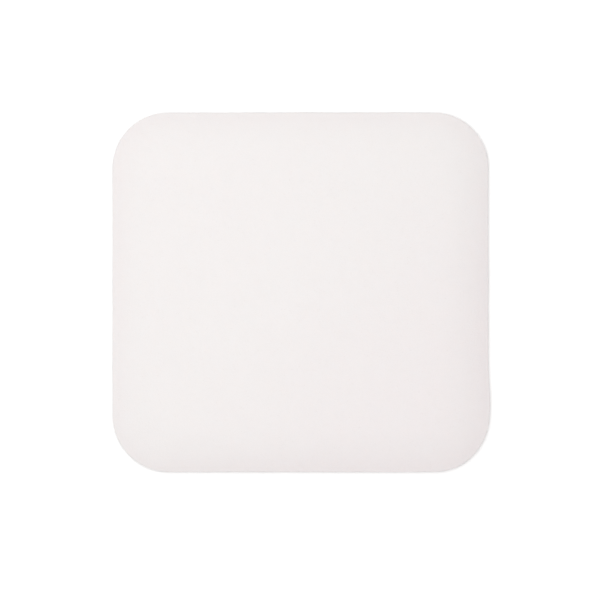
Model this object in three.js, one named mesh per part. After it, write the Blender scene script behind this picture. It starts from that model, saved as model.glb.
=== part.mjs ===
// A foam wound dressing: one soft pad of absorbent foam with round corners and no border. Its face
// is smooth and slightly crowned, and rolls down all round to a low cut rim. The wound side is flat.
//
// Sizes are in millimetres and +Z is up. The pad lies on its wound side. The origin is in the middle
// of that side, +X runs across the width and +Y along the length.

import * as THREE from "three";

// Size of the pad
const padWidth = 102.4;
const padLength = 98;
const padThickness = 5; // in the middle of the crown

// Corner radii seen from above, each as the knife left it
const backRightRadius = 14.9;
const backLeftRadius = 15.2;
const frontLeftRadius = 15.4;
const frontRightRadius = 14.7;

// Section through the edge
const footRound = 0.35; // rounding between the wound side and the rim
const rimHeight = 1.4; // from the wound side to where the face meets the rim
const rimHollow = 0.12; // how far the cut foam is drawn in at half the rim's height
const rollReach = 14; // how far in from the rim the face starts to fall
const rollPower = 2.25; // 2 makes the roll a parabola, and more makes it fall faster near the rim
const cornerHaste = 2; // 0 shrinks the corner radii in proportion inwards, and more shrinks them sooner
const crownRise = 0.6; // how much the dome over the whole face adds in the middle

// Nib of foam that the knife left standing on the right side
const nibHeight = 0.5;
const nibSpread = 6.5;
const nibPlace = -30; // along the length, from the middle

// How finely the curves are cut into flat facets
const cornerSegments = 12;
const sideSegments = 14;
const footSegments = 3;
const rimSegments = 4; // an even number, so that one ring lies where the rim is drawn in most
const rollSegments = 12;
const crownSegments = 8;

const foamColour = 0xf4f0ef;
const foamRoughness = 0.9;

const quarterTurn = Math.PI / 2;
const middleDistance = Math.min(padWidth, padLength) / 2;
const rollRise = padThickness - crownRise - rimHeight;

// Corners in turn, anticlockwise seen from above, with the direction in which each arc starts
const corners = [
  { across: 1, along: 1, radius: backRightRadius, start: 0 },
  { across: -1, along: 1, radius: backLeftRadius, start: quarterTurn },
  { across: -1, along: -1, radius: frontLeftRadius, start: 2 * quarterTurn },
  { across: 1, along: -1, radius: frontRightRadius, start: 3 * quarterTurn },
];

// The outline, drawn a given inset inside the rim. The straight sides move in by that inset. The
// corner radii shrink at about the same rate near the rim, so the roll is as steep at the corners as
// along the sides, and ever more slowly further in, so that no crease runs over the face.
function outlineAt(inset) {
  const shrink = 1 - inset / middleDistance;
  const arcs = corners.map(({ across, along, radius, start }) => {
    const innerRadius = (radius * shrink) / (1 + cornerHaste * (1 - shrink));
    const centreX = across * (padWidth / 2 - inset - innerRadius);
    const centreY = along * (padLength / 2 - inset - innerRadius);
    const arc = new THREE.EllipseCurve(
      centreX, centreY, innerRadius, innerRadius, start, start + quarterTurn, false);
    return arc.getPoints(cornerSegments);
  });
  const outline = [];
  arcs.forEach((arc, index) => {
    const nextArc = arcs[(index + 1) % arcs.length];
    const side = new THREE.LineCurve(arc.at(-1), nextArc[0]);
    outline.push(...arc, ...side.getPoints(sideSegments).slice(1, -1));
  });
  return outline.map((point) => withNib(point, shrink));
}

// The nib is a low swelling of the right side that fades out towards the middle of the pad.
function withNib(point, shrink) {
  const share = Math.max(point.x / (padWidth / 2), 0);
  const away = (point.y - nibPlace * shrink) / nibSpread;
  return new THREE.Vector2(point.x + nibHeight * share * Math.exp(-away * away), point.y);
}

// Height of the dome at a given inset. It is flat in the middle and nothing at the rim.
function domeHeight(inset) {
  const outwards = 1 - inset / middleDistance;
  return crownRise * (1 - outwards * outwards);
}

// Section through half the pad, as insets and heights from the foot of the rim to near the middle
function padSection() {
  const section = [];
  for (let step = 0; step <= footSegments; step += 1) {
    const turn = (step / footSegments) * quarterTurn;
    section.push({
      inset: footRound * (1 - Math.sin(turn)),
      height: footRound * (1 - Math.cos(turn)),
    });
  }
  for (let step = 1; step <= rimSegments; step += 1) {
    const share = step / rimSegments;
    section.push({
      inset: rimHollow * Math.sin(share * Math.PI),
      height: footRound + (rimHeight - footRound) * share,
    });
  }
  for (let step = 1; step <= rollSegments; step += 1) {
    const share = step / rollSegments;
    const inset = rollReach * share;
    const climb = rollRise * (1 - (1 - share) ** rollPower);
    section.push({ inset, height: rimHeight + climb + domeHeight(inset) });
  }
  for (let step = 1; step < crownSegments; step += 1) {
    const inset = rollReach + (middleDistance - rollReach) * (step / crownSegments);
    section.push({ inset, height: rimHeight + rollRise + domeHeight(inset) });
  }
  return section;
}

// One closed skin: a ring of the outline at each step of the section, a fan of triangles over
// the flat wound side, and another that closes the crown.
function padGeometry() {
  const positions = [];
  const triangles = [];
  const rings = padSection().map(({ inset, height }) => {
    const outline = outlineAt(inset);
    const first = positions.length / 3;
    outline.forEach((point) => positions.push(point.x, point.y, height));
    return { first, count: outline.length };
  });
  for (let level = 1; level < rings.length; level += 1) {
    const lower = rings[level - 1];
    const upper = rings[level];
    for (let place = 0; place < lower.count; place += 1) {
      const next = (place + 1) % lower.count;
      triangles.push(lower.first + place, lower.first + next, upper.first + next);
      triangles.push(lower.first + place, upper.first + next, upper.first + place);
    }
  }
  const undersideMiddle = positions.length / 3;
  positions.push(0, 0, 0);
  const crownMiddle = positions.length / 3;
  positions.push(0, 0, padThickness);
  const foot = rings[0];
  const top = rings.at(-1);
  for (let place = 0; place < foot.count; place += 1) {
    const next = (place + 1) % foot.count;
    triangles.push(undersideMiddle, foot.first + next, foot.first + place);
    triangles.push(crownMiddle, top.first + place, top.first + next);
  }
  const geometry = new THREE.BufferGeometry();
  geometry.setAttribute("position", new THREE.Float32BufferAttribute(positions, 3));
  geometry.setIndex(triangles);
  geometry.computeVertexNormals();
  return geometry;
}

// The nib makes the right side stand out further than the left, so the pad is moved until the
// origin is in the middle of its full width.
function centredOnOrigin(geometry) {
  geometry.computeBoundingBox();
  const middle = geometry.boundingBox.getCenter(new THREE.Vector3());
  return geometry.translate(-middle.x, -middle.y, 0);
}

const foam = new THREE.MeshStandardMaterial({
  name: "foam",
  color: foamColour,
  roughness: foamRoughness,
  metalness: 0,
});

const pad = new THREE.Mesh(centredOnOrigin(padGeometry()), foam);
pad.name = "foam_pad";

const dressing = new THREE.Group();
dressing.name = "foam_dressing";
dressing.add(pad);

export default dressing;
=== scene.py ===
# %% [markdown]
# # A foam wound dressing
#
# One soft pad of absorbent foam lies on a white table and is seen from straight above. It is nearly
# square, about ten centimetres each way, with round corners. Its face is a smooth, faintly pink skin
# that rolls down to a low rim, where a knife has cut through the open cells of the foam.
#
# The measured model is loaded first. It has the true outline and thickness, but it is plain and
# coarse. The pad below stands for it, in the same frame and with the same form, with many more points,
# the cells along the cut and a finish of its own. Sizes on the pad are written in millimetres, and are
# turned into metres when its mesh is made. Those of the table, the lamp and the camera are in metres.

# %% Load the measured pad
import math

import bpy
import numpy as np
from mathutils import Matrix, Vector, noise


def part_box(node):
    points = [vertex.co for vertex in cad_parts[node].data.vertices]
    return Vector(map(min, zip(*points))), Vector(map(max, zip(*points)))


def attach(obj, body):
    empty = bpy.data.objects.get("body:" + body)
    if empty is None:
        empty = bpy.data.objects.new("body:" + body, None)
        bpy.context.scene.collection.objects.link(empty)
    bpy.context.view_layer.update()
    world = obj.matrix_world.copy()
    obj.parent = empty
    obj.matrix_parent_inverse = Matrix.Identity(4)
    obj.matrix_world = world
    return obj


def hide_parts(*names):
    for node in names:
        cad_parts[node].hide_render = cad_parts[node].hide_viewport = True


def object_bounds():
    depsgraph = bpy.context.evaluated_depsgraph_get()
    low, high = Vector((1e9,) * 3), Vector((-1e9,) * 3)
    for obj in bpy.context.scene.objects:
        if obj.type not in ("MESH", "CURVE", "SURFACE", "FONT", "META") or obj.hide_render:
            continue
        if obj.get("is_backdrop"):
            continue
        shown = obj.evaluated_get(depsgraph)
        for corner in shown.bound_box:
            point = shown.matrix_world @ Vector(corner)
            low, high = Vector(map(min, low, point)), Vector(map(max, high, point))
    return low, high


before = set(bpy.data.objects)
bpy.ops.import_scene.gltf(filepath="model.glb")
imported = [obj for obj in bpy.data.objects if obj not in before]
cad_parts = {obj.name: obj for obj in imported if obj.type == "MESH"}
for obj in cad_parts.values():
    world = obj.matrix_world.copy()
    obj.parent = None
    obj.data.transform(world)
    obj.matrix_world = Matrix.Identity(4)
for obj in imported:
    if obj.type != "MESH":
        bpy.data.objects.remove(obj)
measured_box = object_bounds()
MM = 0.001
low, high = (np.array(corner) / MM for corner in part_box("foam_pad"))
print("measured pad, mm:", (high - low).round(2))

# %% [markdown]
# ## The outline
#
# A pad like this is cut from a sheet with a steel rule bent to shape, so its outline is four straight
# sides and four arcs that aren't quite alike. A curve object could be drawn and filled, but then the
# points on the face would have nothing to do with those on the rim. So the outline is worked out here
# as a list of points at even steps, each with the direction that points straight out of the foam.
#
# The same outline is needed again and again further in, for the roll and the face. So each point is
# kept in parts: a point on the square box round the pad, the way in from there, and the step from the
# box to the round corner. Adding them up with a smaller step gives the outline further in.
#
# The measured box is wider than the outline, because it holds a nib on the right side as well. So the
# middle of the outline is counted from the left.

# %% Draw the outline
PAD_WIDTH = 102.4
PAD_LENGTH = high[1] - low[1]
PAD_THICKNESS = high[2] - low[2]
MIDDLE_X = low[0] + PAD_WIDTH / 2
MIDDLE_DISTANCE = min(PAD_WIDTH, PAD_LENGTH) / 2

QUARTER_TURN = math.pi / 2
CORNERS = (
    {"across": 1, "along": 1, "radius": 14.9, "start": 0},
    {"across": -1, "along": 1, "radius": 15.2, "start": QUARTER_TURN},
    {"across": -1, "along": -1, "radius": 15.4, "start": 2 * QUARTER_TURN},
    {"across": 1, "along": -1, "radius": 14.7, "start": 3 * QUARTER_TURN},
)


def corner_point(corner, turn):
    """Box point, way in, rounding step and way out of the foam, turn radians after an arc's start."""
    sign = np.array([corner["across"], corner["along"]])
    outward = np.array([math.cos(corner["start"] + turn), math.sin(corner["start"] + turn)])
    box_corner = sign * (PAD_WIDTH / 2, PAD_LENGTH / 2)
    return np.array([box_corner, -sign, corner["radius"] * (outward - sign), outward])


def draw_outline(count):
    """Box points, ways in, rounding steps and ways out, evenly spaced round the pad, an array each."""
    stretches = []
    for corner, following in zip(CORNERS, CORNERS[1:] + CORNERS[:1]):
        arc_end = corner_point(corner, QUARTER_TURN)
        side_end = corner_point(following, 0)
        side = np.linalg.norm((side_end[0] + side_end[2]) - (arc_end[0] + arc_end[2]))
        stretches.append((corner["radius"] * QUARTER_TURN, corner, None, None))
        stretches.append((side, None, arc_end, side_end))
    ends = np.cumsum([stretch[0] for stretch in stretches])
    points = []
    for distance in np.arange(count) * ends[-1] / count:
        place = int(np.searchsorted(ends, distance, side="right"))
        length, corner, side_start, side_end = stretches[place]
        share = 1 - (ends[place] - distance) / length
        if corner:
            points.append(corner_point(corner, share * QUARTER_TURN))
        else:
            points.append(side_start + (side_end - side_start) * share)
    print("rim, mm round:", ends[-1].round(1), "with", count, "points")
    return np.array(points).transpose(1, 0, 2)


RIM_POINTS = 2560
box_points, inward_ways, rounding, outward_ways = draw_outline(RIM_POINTS)

# %% [markdown]
# ## The section
#
# Cut the pad in half and look at the edge. From below, the wound side turns up round a tiny foot. The
# rule presses the foam flat as it cuts, and the foam springs back afterwards. That leaves two marks:
# the cut rim is drawn in a little at half its height, and the skin starts low, at a soft crease on
# top of the rim, and climbs over more than a centimetre to the very shallow dome of the face.
#
# A curve with handles could be dragged into this shape by eye. Two short formulas do it here, one for
# the rim and one for the face, because then every ring can ask them for its own place. The power in
# the roll says how fast it steepens: 2 would be a parabola, and the higher it is, the flatter the
# face and the sharper the fall at the rim. The haste of the corners says how soon their radii shrink
# on the way in: at 2 the roll is about as steep there as along the sides.

# %% Describe the section
FOOT_ROUND = 0.35
RIM_HEIGHT = 1.4
RIM_HOLLOW = 0.12
CREASE_ROUND = 0.14
ROLL_REACH = 14
ROLL_POWER = 2.25
CORNER_HASTE = 2
CROWN_RISE = 0.6
ROLL_RISE = PAD_THICKNESS - CROWN_RISE - RIM_HEIGHT


def foot_at(turn):
    """Inset and height of a place on the foot, turn radians after the flat wound side."""
    return FOOT_ROUND * np.array([1 - math.sin(turn), 1 - math.cos(turn)])


def rim_at(height):
    """Inset and height of a place on the cut rim, which is drawn in at half its height."""
    share = (height - FOOT_ROUND) / (RIM_HEIGHT - FOOT_ROUND)
    return np.array([RIM_HOLLOW * math.sin(math.pi * share), height])


def face_at(inset):
    """Inset and height of a place on the face, from the rim over the roll to the middle."""
    roll = 1 - max(1 - inset / ROLL_REACH, 0) ** ROLL_POWER
    dome = 1 - (1 - inset / MIDDLE_DISTANCE) ** 2
    return np.array([inset, RIM_HEIGHT + ROLL_RISE * roll + CROWN_RISE * dome])


def crease_at(share):
    """Inset and height of a place on the soft crease between the rim and the face."""
    below, corner = rim_at(RIM_HEIGHT - CREASE_ROUND), rim_at(RIM_HEIGHT)
    above = face_at(CREASE_ROUND)
    first, second = below + (corner - below) * share, corner + (above - corner) * share
    return first + (second - first) * share


# %% [markdown]
# ### Rings
#
# Each step of the section becomes one ring of points. A ring is a distance in from the rim, a height
# and a number of points. Rings in the cut get all the points of the outline, because the cells there
# are small. The face is smooth, so its rings have fewer, and fewer still towards the middle, where the
# rings are short. The flat wound side needs the fewest. A count only ever changes by a whole factor
# from ring to ring, and mostly by two, so that rings can be joined neatly.

# %% Draw the rings
FOOT_RINGS = 4
RIM_RINGS = 9
CREASE_RINGS = 5
FIRST_STEP = 0.14
STEP_GROWTH = 1.12
FACE_STEP = 0.8
WOUND_STEP = 1.6
NEAR_RIM = 1.2
NEAR_RIM_POINTS = RIM_POINTS // 2
MOST_POINTS = RIM_POINTS // 4
FEWEST_POINTS = 20


def points_needed(inset, step):
    """Number of points on a ring, so that they lie about a step apart. It halves as the ring shrinks."""
    count = MOST_POINTS
    fitting = 2 * (PAD_WIDTH + PAD_LENGTH - 4 * inset) / step
    while count > fitting and count > FEWEST_POINTS:
        count //= 2
    return count


def draw_section():
    """All rings from the middle of the wound side, out, up and over to the middle of the face."""
    foot_start = foot_at(0)[0]
    rings = []
    for inset in np.arange(MIDDLE_DISTANCE - WOUND_STEP, foot_start + WOUND_STEP / 2, -WOUND_STEP):
        rings.append((inset, 0, points_needed(inset, WOUND_STEP)))
    for turn in np.linspace(0, QUARTER_TURN, FOOT_RINGS):
        rings.append((*foot_at(turn), RIM_POINTS))
    for height in np.linspace(FOOT_ROUND, RIM_HEIGHT - CREASE_ROUND, RIM_RINGS)[1:]:
        rings.append((*rim_at(height), RIM_POINTS))
    for share in np.linspace(0, 1, CREASE_RINGS)[1:]:
        rings.append((*crease_at(share), RIM_POINTS))
    inset, step = CREASE_ROUND + FIRST_STEP, FIRST_STEP
    while inset < MIDDLE_DISTANCE - FACE_STEP / 2:
        count = NEAR_RIM_POINTS if inset < NEAR_RIM else points_needed(inset, step)
        rings.append((*face_at(inset), count))
        step = min(step * STEP_GROWTH, FACE_STEP)
        inset += step
    return rings


rings = draw_section()
print("rings:", len(rings), "points:", sum(count for _, _, count in rings))

# %% [markdown]
# ## Foam isn't perfect
#
# A pad drawn by formula looks like moulded plastic. Real foam gives itself away in three sizes. The
# knife wanders by a twentieth of a millimetre and leaves one nib on the right side. The face lies in
# very shallow waves, because the sheet was soft when it was cut. And the rim shows the cells that the
# knife opened, each a little over half a millimetre wide.
#
# A Displace modifier could make the waves, but it would press the foot into the table as well. Here
# each effect is a small function of place, so that each stays where it belongs.

# %% Describe the nib, the waves and the cells
NIB_HEIGHT = 0.5
NIB_SPREAD = 6.5
NIB_PLACE = -30
WANDER_DEPTH = 0.07
WANDER_LENGTH = 9
WAVE_DEPTH = 0.06
WAVE_LENGTH = 15
WAVE_SHIFT = 40
CELL_WIDTH = 0.6
CELL_DEPTH = 0.2
WALL_STEEPNESS = 2.2


def with_nib(points, shrink):
    """The ring's points, with the low swelling that the knife left on the right side."""
    share = np.clip(points[:, 0] / (PAD_WIDTH / 2), 0, None)
    away = (points[:, 1] - NIB_PLACE * shrink) / NIB_SPREAD
    return points + np.column_stack([NIB_HEIGHT * share * np.exp(-away * away), np.zeros(len(points))])


def soft_noise(points, length):
    """Smooth noise from about -1 to 1 at each point, with bumps about a length apart."""
    return np.array([noise.noise(Vector(point) / length) for point in points])


def open_cells(points):
    """How deep the cut cells are at each point, from 0 on a cell's wall to 1 in its middle."""
    walls = [noise.noise(Vector(point) / CELL_WIDTH, noise_basis="VORONOI_F2F1") for point in points]
    return np.clip(np.array(walls) * WALL_STEEPNESS, 0, 1)


# %% [markdown]
# ## The skin of rings
#
# Now every ring is laid out and moved a little along its own normal. The section gives that normal:
# where it climbs, the surface faces outwards, and where it runs in, it faces up. The cells bite only
# into the cut rim, and fade out at the foot and at the skin. The waves fade out towards the rim.

# %% Lay out the rings
CELL_REACH = 1.12
CELL_FADE = 4

heights = np.array([height for _, height, _ in rings])
insets = np.array([inset for inset, _, _ in rings])
climb = np.gradient(heights)
run_in = np.gradient(insets)
steepness = np.hypot(climb, run_in)
faces_out, faces_up = climb / steepness, run_in / steepness
rim_middle = (FOOT_ROUND + RIM_HEIGHT) / 2
rim_half = (RIM_HEIGHT - FOOT_ROUND) / 2

laid = []
for (inset, height, count), out, up in zip(rings, faces_out, faces_up):
    every = RIM_POINTS // count
    shrink = 1 - inset / MIDDLE_DISTANCE
    roundness = shrink / (1 + CORNER_HASTE * (1 - shrink))
    flat = box_points[::every] + inward_ways[::every] * inset + rounding[::every] * roundness
    flat = with_nib(flat, shrink)
    points = np.column_stack([flat, np.full(count, float(height))])
    ways = np.column_stack([outward_ways[::every] * out, np.full(count, up)])
    wander = soft_noise(points * (1, 1, 0), WANDER_LENGTH) * WANDER_DEPTH * shrink**2
    points[:, :2] += outward_ways[::every] * wander[:, None]
    if height > RIM_HEIGHT:
        skin = min((height - RIM_HEIGHT) / ROLL_RISE, 1)
        waves = soft_noise(points * (1, 1, 0) + WAVE_SHIFT, WAVE_LENGTH) * WAVE_DEPTH * skin
        points += ways * waves[:, None]
    in_cut = 1 - min(abs(height - rim_middle) / (rim_half * CELL_REACH), 1) ** CELL_FADE
    if in_cut > 0:
        points -= ways * (open_cells(points) * CELL_DEPTH * in_cut)[:, None]
    points[:, 2] = np.maximum(points[:, 2], 0)
    laid.append(points)
print("highest point, mm:", max(points[:, 2].max() for points in laid).round(3))

# %% [markdown]
# ## From rings to a mesh
#
# Two rings with the same number of points are joined by four-sided faces. Where one ring has twice
# the points of the other, or more, each face takes in that many of its steps. One rule covers both.
# The first and the last ring are closed with triangles to a point in the middle.

# %% Join the rings
def join_rings(lower, upper, lower_start, upper_start):
    """Faces between two rings, as lists of point numbers, when one count is a multiple of the other."""
    faces = []
    lower_steps, upper_steps = max(lower // upper, 1), max(upper // lower, 1)
    for place in range(min(lower, upper)):
        along_lower = [lower_start + (place * lower_steps + k) % lower for k in range(lower_steps + 1)]
        along_upper = [upper_start + (place * upper_steps + k) % upper for k in range(upper_steps + 1)]
        faces.append(along_lower + along_upper[::-1])
    return faces


def close_ring(count, start, middle, turned):
    """Triangles from a ring to a point in its middle."""
    steps = [(start + k, start + (k + 1) % count) for k in range(count)]
    return [[middle, b, a] if turned else [middle, a, b] for a, b in steps]


def pad_mesh():
    """The whole pad as one closed mesh, in metres."""
    counts = [len(points) for points in laid]
    starts = np.concatenate([[0], np.cumsum(counts)])
    centres = [[0, 0, laid[0][:, 2].mean()], [0, 0, laid[-1][:, 2].mean()]]
    wound_middle, face_middle = int(starts[-1]), int(starts[-1]) + 1
    faces = close_ring(counts[0], 0, wound_middle, turned=True)
    for k in range(len(laid) - 1):
        faces += join_rings(counts[k], counts[k + 1], int(starts[k]), int(starts[k + 1]))
    faces += close_ring(counts[-1], int(starts[-2]), face_middle, turned=False)
    points = np.vstack([*laid, centres]) + (MIDDLE_X, 0, 0)
    mesh = bpy.data.meshes.new("foam_pad_soft")
    mesh.from_pydata(points * MM, [], faces)
    mesh.shade_smooth()
    print("faces:", len(faces), "triangles:", sum(len(face) - 2 for face in faces))
    return mesh


pad = bpy.data.objects.new("foam_pad_soft", pad_mesh())
bpy.context.scene.collection.objects.link(pad)
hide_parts("foam_pad")
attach(pad, "root")

# %% [markdown]
# ## Writing a material as sums
#
# A material is a graph of nodes. Small pieces of arithmetic are easier to read as Python than as a
# long list of links, so this class holds one socket and turns each sum into its Math node. Every
# other node comes from the one method that is called node.

# %% A socket that can be used in sums
class Wire:
    """One output of a node, or the tree alone."""

    def __init__(self, tree, socket=None):
        self.tree = tree
        self.socket = socket

    def node(self, kind, settings=None, inputs=None, output=0):
        """Adds a node. Settings come first, then the value or the link of each named input."""
        made = self.tree.nodes.new(kind)
        for name, value in (settings or {}).items():
            setattr(made, name, value)
        for name, value in (inputs or {}).items():
            if isinstance(value, Wire):
                self.tree.links.new(value.socket, made.inputs[name])
            else:
                made.inputs[name].default_value = value
        return Wire(self.tree, made.outputs[output] if len(made.outputs) else None)

    def maths(self, operation, first, second):
        """Adds a Math node for two wires, or for a wire and a number."""
        return self.node("ShaderNodeMath", {"operation": operation}, {0: first, 1: second})

    def __add__(self, other):
        return self.maths("ADD", self, other)

    __radd__ = __add__

    def __sub__(self, other):
        return self.maths("SUBTRACT", self, other)

    def __rsub__(self, other):
        return self.maths("SUBTRACT", other, self)

    def __mul__(self, other):
        return self.maths("MULTIPLY", self, other)

    __rmul__ = __mul__


def new_material(name):
    """An empty material, and its tree as a wire to add nodes with."""
    material = bpy.data.materials.new(name)
    material.use_nodes = True
    material.node_tree.nodes.clear()
    return material, Wire(material.node_tree)


# %% [markdown]
# ## The foam's finish
#
# Polyurethane foam for dressings is matt and faintly pink. Light goes a millimetre or two into it and
# comes out again, which fills its shadows, so it gets some subsurface scattering. The skin on the face
# is close-grained, like fine orange peel, with a pinhole here and there where a cell broke through.
# The rim and the wound side are open cells, with thin walls and hollows painted darker as painted shade.
#
# Which of the two a place shows is told by its height: below the top of the rim is cut foam. A little
# noise on the height makes the border between them ragged. All the patterns are made in millimetres of
# the pad itself, so that they sit still from every side.

# %% Make the foam's patterns
BORDER_GRAIN = 0.5
BORDER_RAGGED = 0.16
SKIN_ABOVE = RIM_HEIGHT + 0.16
CUT_BELOW = RIM_HEIGHT + 0.02


def smooth_step(tree, value, start, end):
    """0 before start, 1 after end and a soft slope between. It falls instead where start is larger."""
    return tree.node(
        "ShaderNodeMapRange",
        {"interpolation_type": "SMOOTHSTEP"},
        {"Value": value, "From Min": start, "From Max": end},
    )


def speckle(tree, place, width):
    """Noise from 0 to 1 with grains about a width across, in millimetres."""
    settings = {"Vector": place, "Scale": 1 / width, "Detail": 2.0, "Roughness": 0.55}
    return tree.node("ShaderNodeTexNoise", None, settings)


def cell_pattern(tree, place, width, feature, output="Distance"):
    """The foam's cells as a Voronoi pattern of a given width in millimetres."""
    settings = {"Vector": place, "Scale": 1 / width, "Randomness": 1.0}
    return tree.node("ShaderNodeTexVoronoi", {"feature": feature}, settings, output)


foam, tree = new_material("dressing_foam")
metres = tree.node("ShaderNodeTexCoord", output="Object")
place = tree.node("ShaderNodeVectorMath", {"operation": "SCALE"}, {0: metres, "Scale": 1 / MM})
height = tree.node("ShaderNodeSeparateXYZ", None, {0: place}, "Z")
ragged = speckle(tree, place, BORDER_GRAIN) * BORDER_RAGGED
cut = smooth_step(tree, height + ragged, start=SKIN_ABOVE, end=CUT_BELOW)

# %% [markdown]
# ### Skin and cells
#
# The skin is a soft grain with fine pores in it, both only hundredths of a millimetre deep. The pores
# are smaller than a pixel from above, and show only close up. Here and there a larger cell broke right
# through and left a pinhole: a cell counts if its random colour is bright enough. In the cut, the walls
# between the cells stand up and the rest is hollow. Most cells go on inwards, and have a pit, which the
# colour further on darkens as painted shade.

# %% Shape the skin and the cells
GRAIN_WIDTH = 0.55
GRAIN_DEPTH = 0.030
FINE_GRAIN_WIDTH = 0.22
FINE_GRAIN_DEPTH = 0.012
PORE_WIDTH = 0.24
PORE_DEPTH = 0.015
SKIN_CELL = 0.45
PINHOLE_DEPTH = 0.05
CUT_CELL = 0.34
WALL_RISE = 0.03
HOLLOW_DEPTH = 0.07
PIT_DEPTH = 0.06
CHOICE_SLOPE = 0.06


def holes_in_cells(tree, place, width, rim, floor, rarity):
    """1 inside the holes of some cells and 0 round them. Rarity is the share of cells without one."""
    hole = smooth_step(tree, cell_pattern(tree, place, width, "F1"), rim, floor)
    colour = cell_pattern(tree, place, width, "F1", "Color")
    chosen = tree.node("ShaderNodeSeparateColor", None, {0: colour}, "Red")
    return hole * smooth_step(tree, chosen, rarity, rarity + CHOICE_SLOPE)


coarse_grain = speckle(tree, place, GRAIN_WIDTH) * GRAIN_DEPTH
grain = coarse_grain + speckle(tree, place, FINE_GRAIN_WIDTH) * FINE_GRAIN_DEPTH
pores = smooth_step(tree, cell_pattern(tree, place, PORE_WIDTH, "F1"), start=0.45, end=0.12)
pinholes = holes_in_cells(tree, place, SKIN_CELL, rim=0.26, floor=0.12, rarity=0.88)
to_wall = cell_pattern(tree, place, CUT_CELL, "DISTANCE_TO_EDGE")
hollows = smooth_step(tree, to_wall, start=0.03, end=0.20)
pits = holes_in_cells(tree, place, CUT_CELL, rim=0.42, floor=0.14, rarity=0.12)

skin_height = grain - pores * PORE_DEPTH - pinholes * PINHOLE_DEPTH
cut_height = WALL_RISE - hollows * HOLLOW_DEPTH - pits * PIT_DEPTH
relief = skin_height * (1 - cut) + cut_height * cut

# %% [markdown]
# ### Colour and shine
#
# The colour is painted a shade pinker and darker towards the front right corner, away from the lamp:
# painted shade, with a patchy border. Near the rim, where the roll turns away from the light, the skin
# is painted pinker and darker too, as painted shade. Pores, pinholes and cut cells are painted darker
# and redder than the walls between them: painted shade, for light that comes out of them has met the
# foam more often. The skin has a very faint shine, and the cut foam has next to none.

# %% Colour the foam
SKIN_COLOUR = (0.916, 0.882, 0.874, 1)
# Painted shade: the skin low on the roll, near the rim, is pinker and darker, as the roll turns from the
# light.
ROLL_SHADE_COLOUR = (0.915, 0.871, 0.865, 1)
ROLL_SHADE_FROM = 4.2
ROLL_SHADE_FULLY = 1.6
# Painted shade: the pad is tinted pinker and darker towards the front right, away from the lamp.
SHADE_SIDE_TINT = (1.0, 0.982, 0.990, 1)
PINK_WAY = (1, -1, 0)
PINK_FROM = 0
PINK_FULLY = 90
PINK_PATCH = 30
PINK_STRAY = 30
WALL_COLOUR = (0.975, 0.925, 0.900, 1)
# Painted shade: cell hollows, pits, pores and pinholes are coloured darker than the walls and the skin.
CELL_SHADE_COLOUR = (0.940, 0.875, 0.845, 1)
HOLLOW_SHADE_COLOUR = (0.80, 0.725, 0.70, 1)
PIT_SHADE_COLOUR = (0.42, 0.35, 0.33, 1)
PORE_SHADE = 0.16
PINHOLE_SHADE = 0.38
PIT_SHADE = 0.45
SKIN_ROUGHNESS = 0.72
GLOSS_PATCH = 0.8
GLOSS_DRIFT = 0.10
CUT_ROUGHER = 0.16
FIRST_COLOUR, SECOND_COLOUR, MIXED_COLOUR = 6, 7, 2  # numbers of the Mix node's sockets for colours


def mix_colour(tree, factor, first, second, blend="MIX"):
    """The first colour where the factor is 0, and blended with the second where it is 1."""
    settings = {"data_type": "RGBA", "blend_type": blend}
    inputs = {0: factor, FIRST_COLOUR: first, SECOND_COLOUR: second}
    return tree.node("ShaderNodeMix", settings, inputs, MIXED_COLOUR)


# Painted shade towards the front right corner, away from the lamp, with a patchy border.
along_shade_side = tree.node(
    "ShaderNodeVectorMath",
    {"operation": "DOT_PRODUCT"},
    {0: place, 1: PINK_WAY},
    "Value",
)
stray = speckle(tree, place, PINK_PATCH) * PINK_STRAY
shade_side = smooth_step(tree, along_shade_side + stray, PINK_FROM, PINK_FULLY)
# Painted shade near the rim: darker and pinker where the roll turns from the light.
roll_shade = smooth_step(tree, height, ROLL_SHADE_FROM, ROLL_SHADE_FULLY)
skin_colour = mix_colour(tree, roll_shade, SKIN_COLOUR, ROLL_SHADE_COLOUR)
# Painted shade in the pores, pinholes, hollows and pits.
holes = pores * PORE_SHADE + pinholes * PINHOLE_SHADE
skin_colour = mix_colour(tree, holes, skin_colour, HOLLOW_SHADE_COLOUR)
cut_colour = mix_colour(tree, hollows, WALL_COLOUR, CELL_SHADE_COLOUR)
cut_colour = mix_colour(tree, pits * PIT_SHADE, cut_colour, PIT_SHADE_COLOUR)
colour = mix_colour(tree, cut, skin_colour, cut_colour)
colour = mix_colour(tree, shade_side, colour, SHADE_SIDE_TINT, blend="MULTIPLY")
roughness = SKIN_ROUGHNESS + speckle(tree, place, GLOSS_PATCH) * GLOSS_DRIFT + cut * CUT_ROUGHER

bump = tree.node("ShaderNodeBump", None, {"Height": relief, "Distance": MM, "Strength": 1.0})
surface = tree.node(
    "ShaderNodeBsdfPrincipled",
    {"subsurface_method": "RANDOM_WALK"},
    {
        "Base Color": colour,
        "Roughness": roughness,
        "Normal": bump,
        "Specular IOR Level": 0.3,
        "Subsurface Weight": 0.5,
        "Subsurface Radius": (1.0, 0.95, 0.92),
        "Subsurface Scale": 1.2 * MM,
        "Sheen Weight": 0.05,
        "Sheen Roughness": 0.6,
    },
)
tree.node("ShaderNodeOutputMaterial", None, {"Surface": surface})
pad.data.materials.append(foam)
print("nodes in the foam:", len(foam.node_tree.nodes))

# %% [markdown]
# ## Table, lamp and camera
#
# The dressing lies on a plain white table. White has to come from the table itself and not from more
# light, or the pale foam would burn out. So the table is an ordinary pale surface, and a little glow
# is added only where the camera sees it. Near the pad the glow is so weak that the thin shadow round
# the foot still shows. It grows with distance, because the lamp above doesn't reach that far, and the
# far side would look grey. The table lies a hair below the pad, so that no two faces share one plane.

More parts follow.
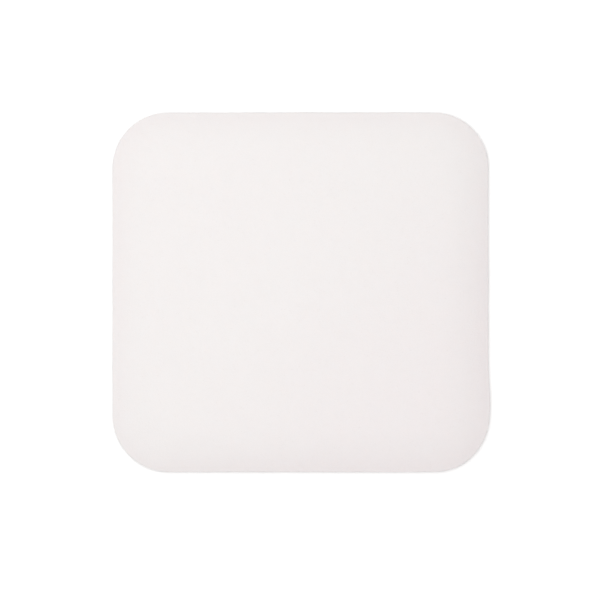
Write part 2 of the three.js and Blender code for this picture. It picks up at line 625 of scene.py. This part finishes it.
# %% Lay the table
TABLE_SIZE = 12
TABLE_DROP = 0.02 * MM
TABLE_COLOUR = (0.90, 0.90, 0.90, 1)
NEAR_GLOW = (0.22, 0.22, 0.22, 1)
FAR_GLOW = (0.56, 0.56, 0.56, 1)
GLOW_START = 0.07
GLOW_END = 0.40

table_mesh = bpy.data.meshes.new("table")
half = TABLE_SIZE / 2
table_corners = [(-half, -half, 0), (half, -half, 0), (half, half, 0), (-half, half, 0)]
table_mesh.from_pydata(table_corners, [], [(0, 1, 2, 3)])
table = bpy.data.objects.new("table", table_mesh)
table.location.z = -TABLE_DROP
bpy.context.scene.collection.objects.link(table)
table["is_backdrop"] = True


def seen_directly(tree):
    """1 for rays from the camera, and for those that reach it by a mirror or through glass."""
    rays = tree.node("ShaderNodeLightPath", output="Is Camera Ray")
    glossy = tree.node("ShaderNodeLightPath", output="Is Glossy Ray")
    through = tree.node("ShaderNodeLightPath", output="Is Transmission Ray")
    return tree.maths("MINIMUM", rays + glossy + through, 1.0)


white_top, tree = new_material("white_table")
pale = tree.node("ShaderNodeBsdfDiffuse", None, {"Color": TABLE_COLOUR})
on_table = tree.node("ShaderNodeTexCoord", output="Object")
from_pad = tree.node("ShaderNodeVectorMath", {"operation": "LENGTH"}, {0: on_table}, "Value")
far = smooth_step(tree, from_pad, GLOW_START, GLOW_END)
glow_colour = mix_colour(tree, far, NEAR_GLOW, FAR_GLOW)
glow_inputs = {"Color": glow_colour, "Strength": seen_directly(tree)}
glow = tree.node("ShaderNodeEmission", None, glow_inputs)
both = tree.node("ShaderNodeAddShader", None, {0: pale, 1: glow})
tree.node("ShaderNodeOutputMaterial", None, {"Surface": both})
table.data.materials.append(white_top)
print("table, m wide:", TABLE_SIZE)

# %% [markdown]
# ### Lamp
#
# The room is a plain white world. It gives two thirds of the light, from all sides, and looks fully
# white where the camera sees it past the table. A square softbox hangs a third of a metre above the
# pad and adds the rest. It hangs a little to the upper left, so that side is a shade lighter, and the
# right and lower edges turn away from it.

# %% Hang the lamp
WHITE = (1, 1, 1, 1)
ROOM_LIGHT = 0.665
ROOM_WHITE = 1.04
LAMP_PLACE = Vector((-0.056, 0.039, 0.33))
LAMP_SIZE = 0.25
LAMP_WATTS = 0.444

world = bpy.data.worlds.new("white_room")
bpy.context.scene.world = world
world.use_nodes = True
world.node_tree.nodes.clear()
tree = Wire(world.node_tree)
strength = seen_directly(tree) * (ROOM_WHITE - ROOM_LIGHT) + ROOM_LIGHT
room = tree.node("ShaderNodeBackground", None, {"Color": WHITE, "Strength": strength})
tree.node("ShaderNodeOutputWorld", None, {"Surface": room})

lamp_data = bpy.data.lights.new("soft_lamp", "AREA")
lamp_data.size = LAMP_SIZE
lamp_data.energy = LAMP_WATTS
lamp = bpy.data.objects.new("soft_lamp", lamp_data)
lamp.location = LAMP_PLACE
lamp.rotation_euler = LAMP_PLACE.to_track_quat("Z", "Y").to_euler()
lamp.visible_camera = False
bpy.context.scene.collection.objects.link(lamp)
print("lamp, m from the middle of the pad:", round(LAMP_PLACE.length, 3))

# %% [markdown]
# ### Camera
#
# The camera looks straight down with a long lens from almost a metre away, so the pad shows no side.
# The picture is 600 pixels wide. The pad spans 376 of them and sits a little above the middle.

# %% Set up the camera
PICTURE_WIDTH = 600
PAD_SPAN = 375.7
PAD_CENTRE = (300.4, 292.3)
CAMERA_DISTANCE = 0.9
SENSOR_WIDTH = 36

metres_per_pixel = PAD_WIDTH * MM / PAD_SPAN
camera_data = bpy.data.cameras.new("camera")
camera_data.sensor_width = SENSOR_WIDTH
camera_data.lens = SENSOR_WIDTH * CAMERA_DISTANCE / (PICTURE_WIDTH * metres_per_pixel)
camera = bpy.data.objects.new("camera", camera_data)
camera.location = (
    MIDDLE_X * MM + (PICTURE_WIDTH / 2 - PAD_CENTRE[0]) * metres_per_pixel,
    (PAD_CENTRE[1] - PICTURE_WIDTH / 2) * metres_per_pixel,
    CAMERA_DISTANCE + rim_middle * MM,
)
bpy.context.scene.collection.objects.link(camera)
bpy.context.scene.camera = camera
bpy.context.scene.view_settings.view_transform = "Standard"
print("lens, mm:", round(camera_data.lens, 1))

# %% [markdown]
# ## Finish
#
# The last step prints the box of the finished pad beside the measured one.

# %% Print the sizes
boxes = {"cad": measured_box, "visual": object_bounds()}
for name, (lowest, highest) in boxes.items():
    print(name, "box, mm:", [round(side / MM, 2) for side in highest - lowest])
